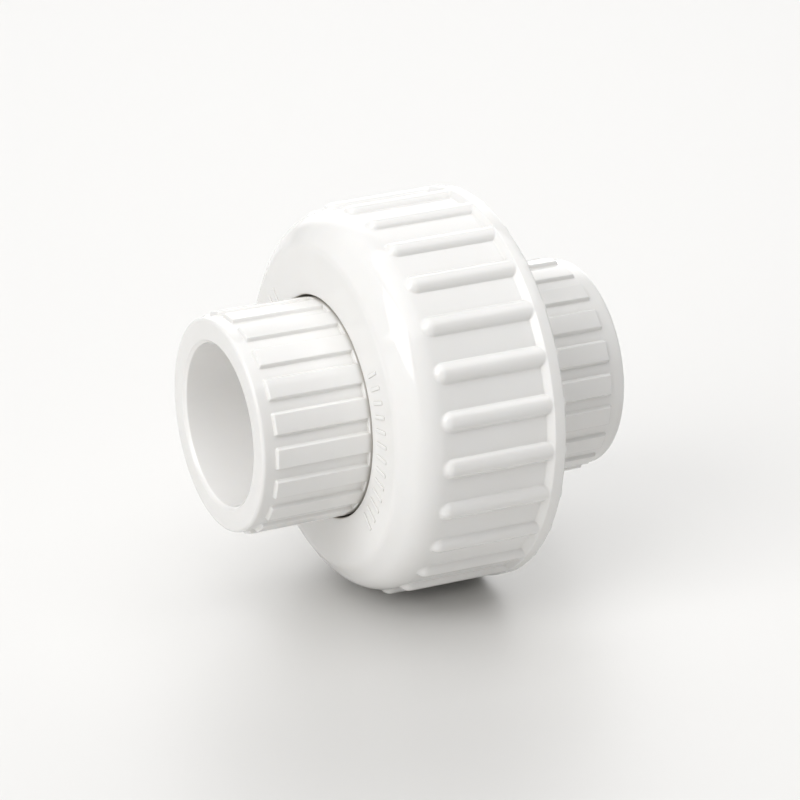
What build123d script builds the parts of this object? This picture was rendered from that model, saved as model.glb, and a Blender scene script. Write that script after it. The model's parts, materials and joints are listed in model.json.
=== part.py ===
from build123d import *
from math import atan, degrees, hypot, radians, tan
import os

# Pipe union for nominal 1/2 inch pipe, solvent-weld socket at both ends.
# The common axis is X. The near socket opens toward -X, the far socket toward +X.
# Stations below are distances along the axis from the near mouth, in millimetres.

# Overall
union_length = 52.7

# Sockets and hubs, the same at both ends
socket_radius = 10.7
socket_depth = 17.5
socket_lead_in = 0.45
waterway_radius = 7.9
hub_radius = 14.0
hub_edge_round = 0.5

# Grip grooves cut along the raised part of each hub, which leave pads between them
grip_count = 20
pad_radius = 14.5
near_pad_start = 1.7
far_pad_start = 2.15
pad_ramp_length = 0.3
pad_edge_round = 0.14
grip_length = 13.0
grip_floor_width = 1.46
grip_top_width = 2.02
far_grip_phase = 6.8

# Tailpiece flange, held captive behind the nut's front wall
flange_radius = 19.2
flange_start = 18.4
flange_end = 22.4
flange_root_round = 0.6
flange_edge_round = 0.4

# Nut, outside
nut_front = 14.8
nut_rear = 36.5
nut_face_corner_radius = 21.25
nut_face_corner_round = 2.0
nut_shoulder_station = 17.5
nut_shoulder_round = 4.6
nut_barrel_radius = 25.15
nut_barrel_rear_radius = 25.4
nut_rim_start = 34.1
nut_rim_step = 0.75
nut_rim_radius = 26.26
nut_rim_edge_round = 0.35

# Nut, inside
nut_hole_radius = 14.75
nut_hole_mouth_round = 0.25
nut_inside_round = 0.4
nut_inner_shoulder = 18.15
nut_flange_room_radius = 20.0
nut_flange_room_end = 22.0
nut_rear_lead_in = 0.8

# Grip ribs on the nut
rib_count = 26
rib_phase = 8.8
rib_section_radius = 1.5
rib_height = 0.8
rib_tip_station = 19.45

# Raised index dashes on the nut's front face
dash_inner_radius = 16.2
dash_outer_radius = 18.7
dash_width = 0.5
dash_height = 0.14
dash_sink = 0.2
dash_groups = 2
dashes_per_group = 13
dash_step = 6
first_dash_turn = 58

# Screw thread between the nut and the connector, right-handed
thread_pitch = 4.0
thread_crest_width = 1.3
thread_flank_angle = 20.0
male_root_radius = 20.3
male_crest_radius = 22.0
male_thread_start = 23.4
male_thread_end = 34.0
female_crest_radius = 20.65
female_root_radius = 22.35
female_thread_start = 25.6
female_thread_end = 35.2
thread_base_sink = 0.2

# Connector body
connector_face = 22.7
connector_collar_end = 35.7
connector_collar_round = 0.8
connector_face_round = 0.5
connector_hub_root = 36.6

# Face seal
seal_mean_radius = 13.4
groove_width = 3.1
groove_depth = 1.95
seal_width = 2.84
seal_height = 2.2
seal_floor_gap = 0.01


# Extra length or radius that carries a cutting tool clear of the surface it cuts
clearance = 1.0


def at(station):
    """X coordinate of a station measured from the near mouth."""
    return station - union_length / 2


def from_far_mouth(station):
    """Distance from the far mouth to a station measured from the near mouth."""
    return union_length - station


def profile(corners, rounds):
    """Closed half-section from (station, radius) corners, with some corners rounded."""
    points = [(at(station), radius) for station, radius in corners]
    section = make_face(Polyline(points, close=True))
    for station, radius, rounding in rounds:
        nearest = section.vertices().sort_by_distance((at(station), radius))[0]
        section = fillet(nearest, rounding)
    return section


def turned(corners, rounds=()):
    """Solid of revolution about the union's axis."""
    return revolve(profile(corners, rounds), axis=Axis.X)


def around_axis(solid, count, phase=0.0):
    """Copies of a solid spaced evenly about the axis."""
    return [Rot(phase + index * 360 / count, 0, 0) * solid for index in range(count)]


def grip_cutters(start, phase):
    """Tapered cutters, one for each groove, that end square on the hub's plain radius."""
    end = start + grip_length
    depth = pad_radius - hub_radius
    side_slope = (grip_top_width - grip_floor_width) / 2 / depth
    floor_half = grip_floor_width / 2 - side_slope * clearance
    top_half = grip_top_width / 2 + side_slope * clearance
    wedge = make_face(Polyline([
        (floor_half, hub_radius - clearance),
        (top_half, pad_radius + clearance),
        (-top_half, pad_radius + clearance),
        (-floor_half, hub_radius - clearance),
    ], close=True))
    wedge = Pos(at(start), 0, 0) * extrude(Plane.YZ * wedge, grip_length)
    ring = turned([
        (start, hub_radius),
        (start, pad_radius + clearance / 2),
        (end, pad_radius + clearance / 2),
        (end, hub_radius),
    ])
    return around_axis(wedge & ring, grip_count, phase + 180 / grip_count)


def grooved(hub, start, phase):
    """Hub with its grip grooves cut and the top edges of the pads softened."""
    hub = hub - grip_cutters(start, phase)
    low = at(start)
    high = at(start + grip_length + pad_edge_round)
    pad_edges = []
    for edge in hub.edges():
        middle = edge.center()
        on_top = abs(hypot(middle.Y, middle.Z) - pad_radius) < pad_edge_round / 2
        if on_top and low < middle.X < high:
            pad_edges.append(edge)
    return fillet(pad_edges, pad_edge_round)


def socket_cavity(waterway_end):
    """Space inside one end: chamfered mouth, socket and waterway up to a station."""
    return turned([
        (-clearance, 0),
        (-clearance, socket_radius + socket_lead_in),
        (0, socket_radius + socket_lead_in),
        (socket_lead_in, socket_radius),
        (socket_depth, socket_radius),
        (socket_depth, waterway_radius),
        (waterway_end, waterway_radius),
        (waterway_end, 0),
    ])


def make_tailpiece():
    """Near end: socket hub whose flange seals against the connector."""
    body = turned([
        (0, 0),
        (0, hub_radius),
        (near_pad_start, hub_radius),
        (near_pad_start + pad_ramp_length, pad_radius),
        (flange_start, pad_radius),
        (flange_start, flange_radius),
        (flange_end, flange_radius),
        (flange_end, 0),
    ], [
        (0, hub_radius, hub_edge_round),
        (flange_start, pad_radius, flange_root_round),
        (flange_start, flange_radius, flange_edge_round),
        (flange_end, flange_radius, flange_edge_round),
    ])
    return grooved(body, near_pad_start, 0) - socket_cavity(flange_end + clearance)


def thread_ridge(root_radius, crest_radius, datum, start, end):
    """Right-handed helical ridge on a root cylinder, tapering out at both end stations.

    One turn of the ridge passes the datum station on the side where the helix begins.
    """
    side = 1 if crest_radius > root_radius else -1
    height = abs(crest_radius - root_radius)
    base_radius = root_radius - side * thread_base_sink
    crest_half = thread_crest_width / 2
    base_half = crest_half + (height + thread_base_sink) * tan(radians(thread_flank_angle))
    section = make_face(Polyline([
        (base_radius, 0, -base_half),
        (crest_radius, 0, -crest_half),
        (crest_radius, 0, crest_half),
        (base_radius, 0, base_half),
    ], close=True))
    first_station = start - thread_pitch - (start - datum) % thread_pitch
    length = end + thread_pitch - first_station
    ridge = sweep(section, path=Helix(thread_pitch, length, base_radius), is_frenet=True)
    ridge = Pos(at(first_station), 0, 0) * Rot(0, 90, 0) * ridge
    envelope = turned([
        (start, root_radius - side * clearance),
        (start, root_radius),
        (start + height + clearance, crest_radius + side * clearance),
        (end - height - clearance, crest_radius + side * clearance),
        (end, root_radius),
        (end, root_radius - side * clearance),
    ])
    return ridge & envelope


def make_connector():
    """Far end: socket hub with the external thread and the face groove for the seal."""
    root = from_far_mouth(connector_hub_root)
    collar = from_far_mouth(connector_collar_end)
    face = from_far_mouth(connector_face)
    body = turned([
        (0, 0),
        (0, hub_radius),
        (far_pad_start, hub_radius),
        (far_pad_start + pad_ramp_length, pad_radius),
        (root, pad_radius),
        (collar, male_root_radius),
        (face, male_root_radius),
        (face, 0),
    ], [
        (0, hub_radius, hub_edge_round),
        (root, pad_radius, connector_collar_round),
        (collar, male_root_radius, connector_collar_round),
        (face, male_root_radius, connector_face_round),
    ])
    body = grooved(body, far_pad_start, far_grip_phase) - socket_cavity(face + clearance)
    groove_inner_radius = seal_mean_radius - groove_width / 2
    groove_outer_radius = seal_mean_radius + groove_width / 2
    seal_groove = turned([
        (connector_face - clearance, groove_inner_radius),
        (connector_face - clearance, groove_outer_radius),
        (connector_face + groove_depth, groove_outer_radius),
        (connector_face + groove_depth, groove_inner_radius),
    ])
    ridge = thread_ridge(
        male_root_radius,
        male_crest_radius,
        male_thread_start,
        male_thread_start,
        male_thread_end,
    )
    return Rot(0, 0, 180) * body - seal_groove + ridge


def grip_rib():
    """Half-round rib at the top of the nut: a rod with a round front end, sunk into the barrel."""
    draft = (nut_barrel_rear_radius - nut_barrel_radius) / (nut_rim_start - nut_shoulder_station)
    base_half_width = (rib_section_radius ** 2 - (rib_section_radius - rib_height) ** 2) ** 0.5
    tip_centre = rib_tip_station + base_half_width
    barrel_radius = nut_barrel_radius + draft * (tip_centre - nut_shoulder_station)
    axis_radius = barrel_radius + rib_height - rib_section_radius
    length = nut_rim_start + nut_rim_step - tip_centre
    from_base = (Align.CENTER, Align.CENTER, Align.MIN)
    rod = Rot(0, 90, 0) * Cylinder(rib_section_radius, length, align=from_base)
    rod = rod + Sphere(rib_section_radius)
    return Pos(at(tip_centre), 0, axis_radius) * Rot(0, -degrees(atan(draft)), 0) * rod


def index_dashes():
    """Short raised radial dashes in spaced groups on the nut's front face."""
    thickness = dash_height + dash_sink
    dash = Box(thickness, dash_width, dash_outer_radius - dash_inner_radius)
    middle = at(nut_front) + dash_sink - thickness / 2
    dash = Pos(middle, 0, (dash_inner_radius + dash_outer_radius) / 2) * dash
    dashes = []
    for group in range(dash_groups):
        for index in range(dashes_per_group):
            angle = first_dash_turn + group * 360 / dash_groups + index * dash_step
            dashes.append(Rot(angle, 0, 0) * dash)
    return dashes


def make_nut():
    """Ribbed collar nut with a rounded front shoulder and an internal thread."""
    cavity_step = female_root_radius - nut_flange_room_radius
    body = turned([
        (nut_front, nut_hole_radius),
        (nut_front, nut_face_corner_radius),
        (nut_shoulder_station, nut_barrel_radius),
        (nut_rim_start, nut_barrel_rear_radius),
        (nut_rim_start + nut_rim_step, nut_rim_radius),
        (nut_rear, nut_rim_radius),
        (nut_rear, female_root_radius + nut_rear_lead_in),
        (nut_rear - nut_rear_lead_in, female_root_radius),
        (nut_flange_room_end + cavity_step, female_root_radius),
        (nut_flange_room_end, nut_flange_room_radius),
        (nut_inner_shoulder, nut_flange_room_radius),
        (nut_inner_shoulder, nut_hole_radius),
    ], [
        (nut_front, nut_hole_radius, nut_hole_mouth_round),
        (nut_front, nut_face_corner_radius, nut_face_corner_round),
        (nut_shoulder_station, nut_barrel_radius, nut_shoulder_round),
        (nut_rear, nut_rim_radius, nut_rim_edge_round),
        (nut_inner_shoulder, nut_hole_radius, nut_inside_round),
        (nut_inner_shoulder, nut_flange_room_radius, nut_inside_round),
    ])
    ribs = around_axis(grip_rib(), rib_count, rib_phase)
    ridge = thread_ridge(
        female_root_radius,
        female_crest_radius,
        male_thread_start + thread_pitch / 2,
        female_thread_start,
        female_thread_end,
    )
    return body + ribs + index_dashes() + ridge


def make_seal():
    """Rubber ring squeezed between the groove floor and the tailpiece flange."""
    centre = at(connector_face + groove_depth - seal_floor_gap - seal_height / 2)
    section = Pos(centre, seal_mean_radius) * Ellipse(seal_height / 2, seal_width / 2)
    return revolve(section, axis=Axis.X)


pieces = {
    "socket_tailpiece": make_tailpiece(),
    "union_nut": make_nut(),
    "threaded_end_connector": make_connector(),
    "o_ring": make_seal(),
}

os.makedirs("parts", exist_ok=True)
for name, piece in pieces.items():
    export_step(piece, f"parts/{name}.step")
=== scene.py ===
import json
import math

import bpy
import numpy as np
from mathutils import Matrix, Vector


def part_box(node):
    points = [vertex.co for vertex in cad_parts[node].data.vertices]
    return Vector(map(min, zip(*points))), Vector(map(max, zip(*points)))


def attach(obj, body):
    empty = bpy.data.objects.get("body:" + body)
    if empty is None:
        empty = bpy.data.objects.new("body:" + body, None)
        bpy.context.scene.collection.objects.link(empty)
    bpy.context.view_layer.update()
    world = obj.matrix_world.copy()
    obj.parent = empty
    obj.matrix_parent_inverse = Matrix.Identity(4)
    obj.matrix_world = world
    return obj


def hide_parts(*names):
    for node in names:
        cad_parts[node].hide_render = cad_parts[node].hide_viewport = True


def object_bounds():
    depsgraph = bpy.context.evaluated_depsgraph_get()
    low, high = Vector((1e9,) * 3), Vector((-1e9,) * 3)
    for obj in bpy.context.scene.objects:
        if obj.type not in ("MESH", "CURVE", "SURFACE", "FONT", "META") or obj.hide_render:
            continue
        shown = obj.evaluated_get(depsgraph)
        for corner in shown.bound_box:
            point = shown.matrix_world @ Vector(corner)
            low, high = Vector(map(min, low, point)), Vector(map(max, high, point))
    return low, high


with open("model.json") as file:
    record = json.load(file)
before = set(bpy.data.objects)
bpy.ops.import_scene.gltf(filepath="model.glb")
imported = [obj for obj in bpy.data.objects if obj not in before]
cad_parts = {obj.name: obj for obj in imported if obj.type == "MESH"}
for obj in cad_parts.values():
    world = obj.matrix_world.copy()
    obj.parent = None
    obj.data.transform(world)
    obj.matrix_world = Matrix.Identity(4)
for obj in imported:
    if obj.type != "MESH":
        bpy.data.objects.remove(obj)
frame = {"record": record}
cad_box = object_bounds()

# Lengths are in millimetres until a mesh is made. Stations run along +X from the near mouth.
MM = 0.001


def box_in_mm(node):
    """Lowest and highest corner of a CAD node."""
    return [Vector(corner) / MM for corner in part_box(node)]


tailpiece_low, tailpiece_high = box_in_mm("socket_tailpiece")
connector_low, connector_high = box_in_mm("threaded_end_connector")
nut_high = box_in_mm("union_nut")[1]
seal_low, seal_high = box_in_mm("o_ring")
mounts = {mount["name"]: mount for mount in frame["record"]["mounts"]}

near_mouth = tailpiece_low.x
union_length = connector_high.x - near_mouth

# Roundings of the moulded edges
mouth_round = 0.25
hub_edge_round = 0.5
inside_edge_round = 0.3
flange_edge_round = 0.4

# Sockets and hubs
socket_radius = mounts["near_socket"]["dims"]["r_mm"]
socket_depth = 17.5
socket_lead_in = socket_depth - mounts["near_socket"]["dims"]["length_mm"]
waterway_radius = 7.9
hub_radius = 14.0

# Grip grooves along each hub, which leave raised pads between them
grip_count = 20
pad_radius = 14.5
pad_height = pad_radius - hub_radius
grip_length = 13.0
grip_pitch = 2 * math.pi * hub_radius / grip_count
pad_base_half_width = 1.47
pad_wall_width = 0.25
pad_corner_round = 0.3
pad_edge_blend = 0.1
groove_end_wall = 0.14
near_pad_start = 1.7
far_pad_start = 2.15
far_grip_turn = math.radians(6.8)

# Nut
nut_front = 14.8
nut_rear = nut_high.x - near_mouth
nut_hole_radius = 14.75
nut_face_corner = 21.25
nut_rim_radius = nut_high.z
nut_barrel_radius = 25.15
nut_barrel_rear_radius = 25.4
nut_shoulder = 17.5
nut_rim_start = 34.1
nut_rim_step = 0.75
nut_inner_shoulder = 18.15
nut_flange_room_radius = 20.0
nut_flange_room_end = 22.0
nut_rear_lead_in = 0.8

# Grip ribs
rib_count = 26
rib_turn = math.radians(8.8)
rib_section_radius = 1.5
rib_height = 0.8
rib_tip = 19.45
rib_blend = 0.14
rib_round_share = 0.94
rib_tip_room = 2.4

# Raised index marks on the nut's front face
mark_groups = 2
marks_per_group = 13
mark_step = math.radians(6)
first_mark_turn = math.radians(58)
mark_inner_radius = 16.2
mark_outer_radius = 18.7
mark_width = 0.5
mark_height = 0.14
mark_sink = 0.15
mark_edge_round = 0.1
mark_end_round = 0.55
mark_corner_steps = 4
mark_wall_share = 0.4

# Thread, right-handed
thread_pitch = 4.0
thread_crest_half = 0.65
thread_flank = math.tan(math.radians(20))
thread_blend = 0.25
male_root_radius = 20.3
male_crest_radius = connector_high.z
male_thread_start = 23.4
male_thread_end = 34.0
female_root_radius = 22.35
female_crest_radius = 20.65
female_thread_start = 25.6
female_thread_end = 35.2

# Tailpiece flange and connector body
flange_start = 18.4
flange_end = tailpiece_high.x - near_mouth
flange_radius = tailpiece_high.z
connector_face = connector_low.x - near_mouth
collar_end = 35.7
collar_hub_root = 36.6
groove_inner_radius = 11.85
groove_outer_radius = 14.95
groove_depth = 1.95

# Seal
seal_half_width = 1.42
seal_section_steps = 36
seal_columns = 192


def at(station):
    """X of a station, in millimetres."""
    return near_mouth + station


# Section and surface helpers

fewest_arc_steps = 7
longest_arc_step = 0.2


def smooth_max(a, b, reach):
    """The larger of two heights, with a fillet where they come within reach of each other."""
    share = np.maximum(reach - np.abs(a - b), 0) / reach
    return np.maximum(a, b) + share * share * reach / 4


def smooth_min(a, b, reach):
    """The smaller of two heights, with a fillet where they come within reach of each other."""
    return -smooth_max(-a, -b, reach)


def corner_arc(before, here, after, rounding):
    """Points of the arc that rounds one corner of a section, or the corner itself."""
    if rounding == 0:
        return [here]
    to_before = (before - here).normalized()
    to_after = (after - here).normalized()
    half_angle = to_before.angle(to_after) / 2
    reach = rounding / math.tan(half_angle)
    centre = here + (to_before + to_after).normalized() * (rounding / math.sin(half_angle))
    start = here + to_before * reach - centre
    end = here + to_after * reach - centre
    turn = math.pi - 2 * half_angle
    steps = max(fewest_arc_steps, math.ceil(rounding * turn / longest_arc_step))
    points = []
    for step in range(steps + 1):
        angle = turn * step / steps
        points.append(centre + (start * math.sin(turn - angle) + end * math.sin(angle)) / math.sin(turn))
    return points


def section_rows(corners):
    """Closed half-section as (x, radius) rows.

    A corner is (station, radius, rounding, rows), where rows is the number of
    pieces that the straight stretch after it is cut into.
    """
    places = [Vector((at(station), radius)) for station, radius, _, _ in corners]
    arcs = []
    for index, (_, _, rounding, _) in enumerate(corners):
        after = places[(index + 1) % len(places)]
        arcs.append(corner_arc(places[index - 1], places[index], after, rounding))
    rows = []
    for index, (_, _, _, cuts) in enumerate(corners):
        rows += arcs[index]
        start = arcs[index][-1]
        end = arcs[(index + 1) % len(arcs)][0]
        rows += [start.lerp(end, cut / cuts) for cut in range(1, cuts)]
    return np.array([tuple(row) for row in rows])


def pattern_angles(count, turn, radius, offsets):
    """Column angles for a pattern repeated around the axis, dense where offsets are close.

    Offsets are arc lengths from a feature's centre out to half the pattern's pitch.
    """
    one_side = [offset / radius for offset in offsets]
    angles = [-angle for angle in reversed(one_side[:-1])] + [0.0] + one_side
    columns = []
    for index in range(count):
        centre = math.pi / 2 + turn + index * 2 * math.pi / count
        columns += [centre + angle for angle in angles]
    return np.array(columns)


def from_nearest(angle, count, turn, radius):
    """Arc length from each angle to the nearest feature of a pattern, whose first one is at the top."""
    pitch = 2 * math.pi / count
    offset = angle - math.pi / 2 - turn
    return (offset - pitch * np.round(offset / pitch)) * radius


def mesh_piece(name, points, faces):
    """Smooth-shaded piece from points in metres, with its normals weighted by face area."""
    mesh = bpy.data.meshes.new(name)
    mesh.from_pydata(points, [], faces)
    mesh.validate()
    mesh.shade_smooth()
    piece = bpy.data.objects.new(name, mesh)
    bpy.context.scene.collection.objects.link(piece)
    weighting = piece.modifiers.new("face_area_normals", "WEIGHTED_NORMAL")
    weighting.mode = "FACE_AREA"
    weighting.keep_sharp = False
    return piece


def make_piece(name, x, radius, angle):
    """Quad mesh, facing outward, from grids of x and radius (rows by columns) around the X axis."""
    rows, columns = x.shape
    points = np.stack([x, radius * np.cos(angle), radius * np.sin(angle)], axis=-1) * MM
    index = np.arange(rows * columns).reshape(rows, columns)
    next_row = np.roll(index, -1, axis=0)
    next_column = np.roll(index, -1, axis=1)
    across = np.roll(next_row, -1, axis=1)
    faces = np.stack([index, next_column, across, next_row], axis=-1).reshape(-1, 4)
    return mesh_piece(name, points.reshape(-1, 3).tolist(), faces.tolist())


# Surface relief

def grip_relief(reach, angle, pad_start, turn):
    """Height above the plain hub of the pads and the sleeve that they run into.

    The reach is the distance from the hub's own mouth.
    """
    across = np.abs(from_nearest(angle, grip_count, turn, hub_radius))
    inside_across = pad_base_half_width - across
    inside_along = reach - pad_start
    inner_across = np.minimum(inside_across - pad_corner_round, 0)
    inner_along = np.minimum(inside_along - pad_corner_round, 0)
    corner = pad_corner_round - np.hypot(inner_across, inner_along)
    by_corner = (inner_across < 0) & (inner_along < 0)
    inside = np.where(by_corner, corner, np.minimum(inside_across, inside_along))
    pads = inside * pad_height / pad_wall_width
    sleeve = (reach - pad_start - grip_length + groove_end_wall) * pad_height / groove_end_wall
    risen = smooth_max(np.maximum(pads, sleeve), np.zeros_like(pads), pad_edge_blend)
    return smooth_min(risen, np.full_like(risen, pad_height), pad_edge_blend)


def rib_surface(x, angle):
    """Radius of the half-round grip ribs, which lies below the barrel between them."""
    draft = (nut_barrel_rear_radius - nut_barrel_radius) / (nut_rim_start - nut_shoulder)
    barrel = nut_barrel_radius + draft * (x - at(nut_shoulder))
    base_half_width = math.sqrt(rib_section_radius ** 2 - (rib_section_radius - rib_height) ** 2)
    tip_centre = at(rib_tip + base_half_width)
    across = from_nearest(angle, rib_count, rib_turn, nut_barrel_radius)
    distance = np.hypot(across, np.maximum(tip_centre - x, 0))
    edge = rib_round_share * rib_section_radius
    inside = np.minimum(distance, edge)
    round_top = np.sqrt(rib_section_radius ** 2 - inside ** 2)
    edge_slope = edge / math.sqrt(rib_section_radius ** 2 - edge ** 2)
    return barrel + round_top - (rib_section_radius - rib_height) - (distance - inside) * edge_slope


def thread_relief(x, angle, height, datum, start, end):
    """Height of the helical ridge above its root, fading out at both ends."""
    turns = (x - at(datum)) / thread_pitch - (angle - 1.5 * math.pi) / (2 * math.pi)
    off_crest = np.abs(turns - np.round(turns)) * thread_pitch
    flank = (thread_crest_half + height * thread_flank - off_crest) / thread_flank
    ends = np.minimum(x - at(start), at(end) - x)
    ridge = smooth_min(np.minimum(flank, ends), np.full_like(flank, height), thread_blend)
    return smooth_max(ridge, np.zeros_like(ridge), thread_blend)


# Pieces

def columns_and_rows(corners, angle):
    """Grids of x, radius and angle for a section swept around the axis."""
    section = section_rows(corners)
    x = np.repeat(section[:, :1], len(angle), axis=1)
    radius = np.repeat(section[:, 1:], len(angle), axis=1)
    return x, radius, np.repeat(angle[None, :], len(section), axis=0)


grip_offsets = [0.6, 1.0, 1.13, 1.19, 1.25, 1.32, 1.39, 1.45, 1.51, 1.59, 1.85, grip_pitch / 2]


def make_tailpiece():
    """Near end: pads outside, socket and waterway inside, flange at the back."""
    grip_end = near_pad_start + grip_length
    corners = [
        (0, socket_radius + socket_lead_in, mouth_round, 2),
        (0, hub_radius, hub_edge_round, 3),
        (near_pad_start - 0.06, hub_radius, 0, 10),
        (near_pad_start + 0.44, hub_radius, 0, 6),
        (grip_end - 0.45, hub_radius, 0, 12),
        (grip_end + 0.15, hub_radius, 0, 1),
        (grip_end + 0.2, pad_radius, 0, 3),
        (flange_start, pad_radius, 0.6, 3),
        (flange_start, flange_radius, flange_edge_round, 2),
        (flange_end, flange_radius, flange_edge_round, 6),
        (flange_end, waterway_radius, inside_edge_round, 4),
        (socket_depth, waterway_radius, inside_edge_round, 2),
        (socket_depth, socket_radius, mouth_round, 8),
        (socket_lead_in, socket_radius, mouth_round, 1),
    ]
    angle = pattern_angles(grip_count, 0, hub_radius, grip_offsets)
    x, radius, angle = columns_and_rows(corners, angle)
    on_hub = (np.abs(radius - hub_radius) < 0.01) & (x < at(grip_end + 0.16))
    radius = radius + np.where(on_hub, grip_relief(x - at(0), angle, near_pad_start, 0), 0)
    return make_piece("tailpiece_body", x, radius, angle)


def make_connector():
    """Far end: pads outside, socket and waterway inside, seal groove and thread in front."""
    far = union_length
    pad_end = far - far_pad_start
    grip_start = pad_end - grip_length
    corners = [
        (connector_face, groove_outer_radius, 0.2, 4),
        (connector_face, male_root_radius, 0.5, 2),
        (male_thread_start + 0.2, male_root_radius, 0, 80),
        (male_thread_end - 0.2, male_root_radius, 0, 2),
        (collar_end, male_root_radius, 0.8, 3),
        (collar_hub_root, pad_radius, 0.6, 1),
        (grip_start - 0.2, pad_radius, 0, 1),
        (grip_start - 0.15, hub_radius, 0, 12),
        (grip_start + 0.45, hub_radius, 0, 6),
        (pad_end - 0.44, hub_radius, 0, 10),
        (pad_end + 0.06, hub_radius, 0, 3),
        (far, hub_radius, hub_edge_round, 2),
        (far, socket_radius + socket_lead_in, mouth_round, 1),
        (far - socket_lead_in, socket_radius, mouth_round, 8),
        (far - socket_depth, socket_radius, mouth_round, 2),
        (far - socket_depth, waterway_radius, inside_edge_round, 6),
        (connector_face, waterway_radius, inside_edge_round, 3),
        (connector_face, groove_inner_radius, 0.2, 2),
        (connector_face + groove_depth, groove_inner_radius, 0.25, 2),
        (connector_face + groove_depth, groove_outer_radius, 0.25, 2),
    ]
    angle = pattern_angles(grip_count, -far_grip_turn, hub_radius, grip_offsets)
    x, radius, angle = columns_and_rows(corners, angle)
    on_hub = (np.abs(radius - hub_radius) < 0.01) & (x > at(grip_start - 0.16))
    pads = grip_relief(at(far) - x, angle, far_pad_start, -far_grip_turn)
    on_thread = (np.abs(radius - male_root_radius) < 0.01) & (x < at(male_thread_end + 0.5))
    thread_height = male_crest_radius - male_root_radius
    thread = thread_relief(x, angle, thread_height, male_thread_start, male_thread_start, male_thread_end)
    radius = radius + np.where(on_hub, pads, 0) + np.where(on_thread, thread, 0)
    return make_piece("connector_body", x, radius, angle)


def make_nut():
    """Collar nut: rounded front shoulder, ribbed barrel, stepped rim, threaded inside."""
    cavity_step = female_root_radius - nut_flange_room_radius
    corners = [
        (nut_front, nut_hole_radius, 0.25, 8),
        (nut_front, nut_face_corner, 2.0, 3),
        (nut_shoulder, nut_barrel_radius, 4.6, 14),
        (rib_tip + rib_tip_room, nut_barrel_radius + 0.066, 0, 5),
        (nut_rim_start, nut_barrel_rear_radius, 0.3, 6),
        (nut_rim_start + nut_rim_step, nut_rim_radius, 0.3, 2),
        (nut_rear, nut_rim_radius, 0.35, 3),
        (nut_rear, female_root_radius + nut_rear_lead_in, 0.15, 2),
        (nut_rear - nut_rear_lead_in, female_root_radius, 0.15, 2),
        (female_thread_end - 0.1, female_root_radius, 0, 70),
        (female_thread_start + 0.1, female_root_radius, 0, 2),
        (nut_flange_room_end + cavity_step, female_root_radius, 0.3, 2),
        (nut_flange_room_end, nut_flange_room_radius, 0.3, 2),
        (nut_inner_shoulder, nut_flange_room_radius, 0.4, 2),
        (nut_inner_shoulder, nut_hole_radius, 0.4, 2),
    ]
    rib_pitch = 2 * math.pi * nut_barrel_radius / rib_count
    offsets = [0.3, 0.6, 0.85, 1.05, 1.18, 1.26, 1.32, 1.38, 1.46, 1.6, 2.1, rib_pitch / 2]
    angle = pattern_angles(rib_count, rib_turn, nut_barrel_radius, offsets)
    x, radius, angle = columns_and_rows(corners, angle)
    behind_face = x > at(nut_shoulder - 1)
    outside = behind_face & (radius > female_root_radius + 1)
    ribbed = np.minimum(smooth_max(radius, rib_surface(x, angle), rib_blend), nut_rim_radius)
    radius = np.where(outside, ribbed, radius)
    inside = (np.abs(radius - female_root_radius) < 0.01) & (x > at(female_thread_start - 0.5))
    thread_height = female_root_radius - female_crest_radius
    datum = male_thread_start + thread_pitch / 2
    thread = thread_relief(x, angle, thread_height, datum, female_thread_start, female_thread_end)
    radius = radius - np.where(inside, thread, 0)
    return make_piece("nut_body", x, radius, angle)


def make_seal():
    """Rubber ring, squeezed a little flat."""
    centre_x = (seal_low.x + seal_high.x) / 2
    half_height = (seal_high.x - seal_low.x) / 2
    mean_radius = seal_high.z - seal_half_width
    around = np.linspace(0, 2 * math.pi, seal_section_steps, endpoint=False)
    angle = np.linspace(0, 2 * math.pi, seal_columns, endpoint=False)
    x = np.repeat((centre_x + half_height * np.sin(around))[:, None], len(angle), axis=1)
    radius = np.repeat((mean_radius + seal_half_width * np.cos(around))[:, None], len(angle), axis=1)
    return make_piece("seal_ring", x, radius, np.repeat(angle[None, :], len(around), axis=0))


def bar_outline(half_width, half_length, corner):
    """Rounded rectangle around the origin, as (across, along) points."""
    points = []
    for side_across, side_along, first in ((1, 1, 0), (-1, 1, 1), (-1, -1, 2), (1, -1, 3)):
        for step in range(mark_corner_steps + 1):
            angle = (first + step / mark_corner_steps) * math.pi / 2
            across = side_across * (half_width - corner) + corner * math.cos(angle)
            along = side_along * (half_length - corner) + corner * math.sin(angle)
            points.append((across, along))
    return points


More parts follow.
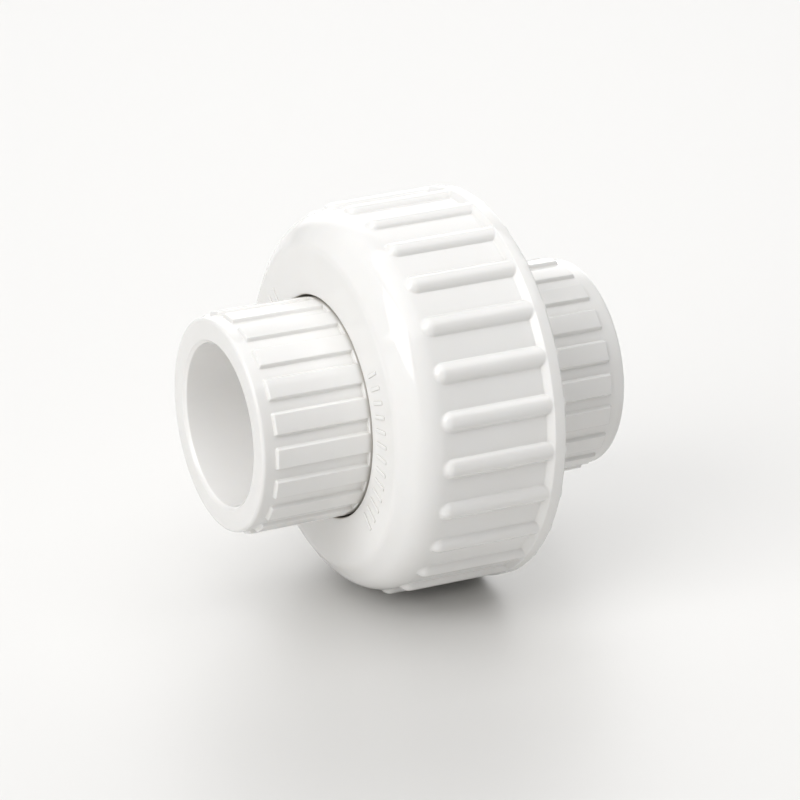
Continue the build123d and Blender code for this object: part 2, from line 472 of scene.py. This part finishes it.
def make_marks():
    """Short raised bars on the nut's front face, in evenly spaced groups."""
    levels = [(-mark_sink, 0.0), (mark_wall_share * mark_height, 0.0)]
    for step in range(1, mark_corner_steps + 1):
        angle = step / mark_corner_steps * math.pi / 2
        rise = mark_wall_share + (1 - mark_wall_share) * math.sin(angle)
        levels.append((rise * mark_height, mark_edge_round * (1 - math.cos(angle))))
    middle_radius = (mark_inner_radius + mark_outer_radius) / 2
    half_length = (mark_outer_radius - mark_inner_radius) / 2
    points = []
    faces = []
    for group in range(mark_groups):
        for index in range(marks_per_group):
            turn = math.pi / 2 + first_mark_turn + group * 2 * math.pi / mark_groups + index * mark_step
            outward = Vector((0, math.cos(turn), math.sin(turn)))
            sideways = Vector((0, -math.sin(turn), math.cos(turn)))
            loops = []
            for rise, inset in levels:
                half_width = mark_width / 2 - inset
                outline = bar_outline(half_width, half_length - inset, half_width * mark_end_round)
                loops.append(range(len(points), len(points) + len(outline)))
                for across, along in outline:
                    place = Vector((at(nut_front) - rise, 0, 0))
                    place += outward * (middle_radius + along) + sideways * across
                    points.append(tuple(place * MM))
            for low, high in zip(loops, loops[1:]):
                for here in range(len(low)):
                    after = (here + 1) % len(low)
                    faces.append((low[here], low[after], high[after], high[here]))
            faces.append(tuple(reversed(loops[0])))
            faces.append(tuple(loops[-1]))
    return mesh_piece("nut_index_marks", points, faces)


# Materials

def new_material(name):
    material = bpy.data.materials.new(name)
    material.use_nodes = True
    return material, material.node_tree, material.node_tree.nodes["Principled BSDF"]


def millimetre_coordinates(tree):
    """The piece's own coordinates, in millimetres."""
    coordinates = tree.nodes.new("ShaderNodeTexCoord")
    mapping = tree.nodes.new("ShaderNodeMapping")
    mapping.inputs["Scale"].default_value = (1 / MM, 1 / MM, 1 / MM)
    tree.links.new(coordinates.outputs["Object"], mapping.inputs["Vector"])
    return mapping.outputs["Vector"]


def noise(tree, where, features_per_mm, detail):
    texture = tree.nodes.new("ShaderNodeTexNoise")
    texture.inputs["Scale"].default_value = features_per_mm
    texture.inputs["Detail"].default_value = detail
    tree.links.new(where, texture.inputs["Vector"])
    return texture.outputs["Fac"]


def spread(tree, value, source, target):
    """Map one range of a value onto another, clamped."""
    node = tree.nodes.new("ShaderNodeMapRange")
    node.inputs["From Min"].default_value, node.inputs["From Max"].default_value = source
    node.inputs["To Min"].default_value, node.inputs["To Max"].default_value = target
    tree.links.new(value, node.inputs["Value"])
    return node.outputs["Result"]


def blend(tree, factor, first, second):
    """Mix two colours, each given as a fixed colour or an output."""
    node = tree.nodes.new("ShaderNodeMix")
    node.data_type = "RGBA"
    tree.links.new(factor, node.inputs["Factor"])
    for socket, colour in ((node.inputs[6], first), (node.inputs[7], second)):
        if isinstance(colour, tuple):
            socket.default_value = colour
        else:
            tree.links.new(colour, socket)
    return node.outputs[2]


def bump(tree, height, depth_mm, below=None):
    node = tree.nodes.new("ShaderNodeBump")
    node.inputs["Distance"].default_value = depth_mm * MM
    tree.links.new(height, node.inputs["Height"])
    if below is not None:
        tree.links.new(below, node.inputs["Normal"])
    return node.outputs["Normal"]


def from_axis(tree, where):
    """Distance from the union's axis."""
    across = tree.nodes.new("ShaderNodeVectorMath")
    across.operation = "MULTIPLY"
    across.inputs[1].default_value = (0, 1, 1)
    tree.links.new(where, across.inputs[0])
    length = tree.nodes.new("ShaderNodeVectorMath")
    length.operation = "LENGTH"
    tree.links.new(across.outputs["Vector"], length.inputs[0])
    return length.outputs["Value"]


def open_sky(tree, reach_mm):
    """How open the surface is: 1 in the open, falling in narrow gaps."""
    node = tree.nodes.new("ShaderNodeAmbientOcclusion")
    node.samples = 8
    node.inputs["Distance"].default_value = reach_mm * MM
    return node.outputs["AO"]


def white_pvc():
    """Glossy moulded PVC: slight orange peel, soft sink marks, and painted warm shade in the gaps.

    The bores are painted paler, a painted brightening that stands in for the light inside them.
    """
    material, tree, shader = new_material("white_pvc_moulded")
    where = millimetre_coordinates(tree)
    tone = spread(tree, noise(tree, where, 0.12, 3), (0.3, 0.7), (0, 1))
    plain = blend(tree, tone, (0.88, 0.871, 0.852, 1), (0.90, 0.893, 0.878, 1))
    # Painted light: inside the socket radius the colour is made paler to stand in for light reaching the
    # bores.
    painted_bore_light = spread(tree, from_axis(tree, where), (socket_radius + 0.4, socket_radius + 0.1), (0, 1))
    tone_and_painted_bore_light = blend(tree, painted_bore_light, plain, (0.965, 0.955, 0.938, 1))
    # Painted shade: a warm darkening of the colour wherever the surface is hemmed in, in creases and
    # narrow gaps.
    painted_crease_shade = spread(tree, open_sky(tree, 0.9), (0.3, 0.9), (0.85, 0))
    colour = blend(tree, painted_crease_shade, tone_and_painted_bore_light, (0.56, 0.53, 0.48, 1))
    tree.links.new(colour, shader.inputs["Base Color"])
    gloss = spread(tree, noise(tree, where, 0.7, 6), (0.3, 0.75), (0.06, 0.11))
    tree.links.new(gloss, shader.inputs["Roughness"])
    shader.inputs["IOR"].default_value = 1.53
    shader.inputs["Subsurface Weight"].default_value = 0.1
    shader.inputs["Subsurface Radius"].default_value = (1.0, 0.85, 0.7)
    shader.inputs["Subsurface Scale"].default_value = 0.6 * MM
    sink = bump(tree, noise(tree, where, 0.22, 1), 0.018)
    peel = bump(tree, noise(tree, where, 2.2, 2), 0.0016, sink)
    tree.links.new(peel, shader.inputs["Normal"])
    return material


def black_rubber():
    """Matt seal rubber with a fine grain and a pale bloom in patches."""
    material, tree, shader = new_material("black_seal_rubber")
    where = millimetre_coordinates(tree)
    bloom = spread(tree, noise(tree, where, 0.5, 5), (0.5, 0.8), (0, 0.6))
    colour = blend(tree, bloom, (0.018, 0.018, 0.020, 1), (0.06, 0.06, 0.062, 1))
    tree.links.new(colour, shader.inputs["Base Color"])
    matt = spread(tree, noise(tree, where, 1.5, 4), (0.3, 0.7), (0.45, 0.65))
    tree.links.new(matt, shader.inputs["Roughness"])
    shader.inputs["IOR"].default_value = 1.5
    grain = bump(tree, noise(tree, where, 7.0, 3), 0.006)
    tree.links.new(grain, shader.inputs["Normal"])
    return material


pvc = white_pvc()
rubber = black_rubber()

for piece, node, body, material, slot in (
    (make_tailpiece(), "socket_tailpiece", "tailpiece", pvc, "white_pvc"),
    (make_connector(), "threaded_end_connector", "connector", pvc, "white_pvc"),
    (make_nut(), "union_nut", "nut", pvc, "white_pvc"),
    (make_marks(), "union_nut", "nut", pvc, "white_pvc"),
    (make_seal(), "o_ring", "connector", rubber, "black_rubber"),
):
    piece.data.materials.append(material)
    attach(piece, body)
    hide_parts(node)


# Stage

light_distance = 1.5
camera_azimuth = math.radians(-27.5)
camera_elevation = math.radians(20.57)
toward_camera = Vector((
    math.sin(camera_azimuth) * math.cos(camera_elevation),
    -math.cos(camera_azimuth) * math.cos(camera_elevation),
    math.sin(camera_elevation),
))


def make_floor():
    """Wide plain floor just under the union."""
    size = 4.0
    height = cad_box[0][2]
    corners = [(-size, -size, height), (size, -size, height), (size, size, height), (-size, size, height)]
    mesh = bpy.data.meshes.new("floor")
    mesh.from_pydata(corners, [], [(0, 1, 2, 3)])
    floor = bpy.data.objects.new("floor", mesh)
    bpy.context.scene.collection.objects.link(floor)
    material, _, shader = new_material("pale_floor")
    shader.inputs["Base Color"].default_value = (0.71, 0.702, 0.686, 1)
    shader.inputs["Roughness"].default_value = 0.45
    shader.inputs["IOR"].default_value = 2.0
    mesh.materials.append(material)


def add_softbox(name, side_turn, elevation, wide, high, brightness):
    """Rectangular light aimed at the union.

    The side turn goes from straight out along -X toward -Y. All angles are in
    degrees, the wide and high ones being the light's size as seen from the union.
    """
    turn = math.radians(side_turn)
    rise = math.radians(elevation)
    away = Vector((
        -math.cos(rise) * math.cos(turn),
        -math.cos(rise) * math.sin(turn),
        math.sin(rise),
    ))
    light = bpy.data.lights.new(name, "AREA")
    light.shape = "RECTANGLE"
    light.size = 2 * light_distance * math.tan(math.radians(wide / 2))
    light.size_y = 2 * light_distance * math.tan(math.radians(high / 2))
    light.energy = brightness * math.pi * light.size * light.size_y
    lamp = bpy.data.objects.new(name, light)
    lamp.location = away * light_distance
    lamp.rotation_euler = away.to_track_quat("Z", "Y").to_euler()
    bpy.context.scene.collection.objects.link(lamp)


def add_world(plain, glow):
    """Even light all round, and a brighter glow low behind the union for the floor to reflect."""
    world = bpy.data.worlds.new("studio")
    world.use_nodes = True
    tree = world.node_tree
    background = tree.nodes["Background"]
    background.inputs["Color"].default_value = (1, 1, 1, 1)
    direction = tree.nodes.new("ShaderNodeTexCoord")
    facing = tree.nodes.new("ShaderNodeVectorMath")
    facing.operation = "DOT_PRODUCT"
    facing.inputs[1].default_value = (-toward_camera.x, -toward_camera.y, toward_camera.z)
    tree.links.new(direction.outputs["Generated"], facing.inputs[0])
    strength = spread(tree, facing.outputs["Value"], (0.8, 0.98), (plain, glow))
    tree.links.new(strength, background.inputs["Strength"])
    bpy.context.scene.world = world


def add_camera():
    """Three-quarter view from the near left, slightly above, with a long lens."""
    distance = 0.3824
    data = bpy.data.cameras.new("camera")
    data.lens = 130.3
    data.sensor_width = 36
    data.shift_x = 0.0008
    data.shift_y = -0.0098
    data.clip_start = 0.01
    camera = bpy.data.objects.new("camera", data)
    camera.location = toward_camera * distance
    camera.rotation_euler = toward_camera.to_track_quat("Z", "Y").to_euler()
    bpy.context.scene.collection.objects.link(camera)
    bpy.context.scene.camera = camera


make_floor()
add_softbox("key_softbox", 22, 36, 28, 38, 3.0)
add_softbox("side_softbox", 0, 34, 12, 34, 3.0)
add_softbox("top_softbox", 90, 82, 60, 60, 1.5)
add_softbox("mouth_fill", 20, 8, 42, 30, 0.78)
add_world(0.27, 2.35)
add_camera()
bpy.context.scene.view_settings.view_transform = "Standard"
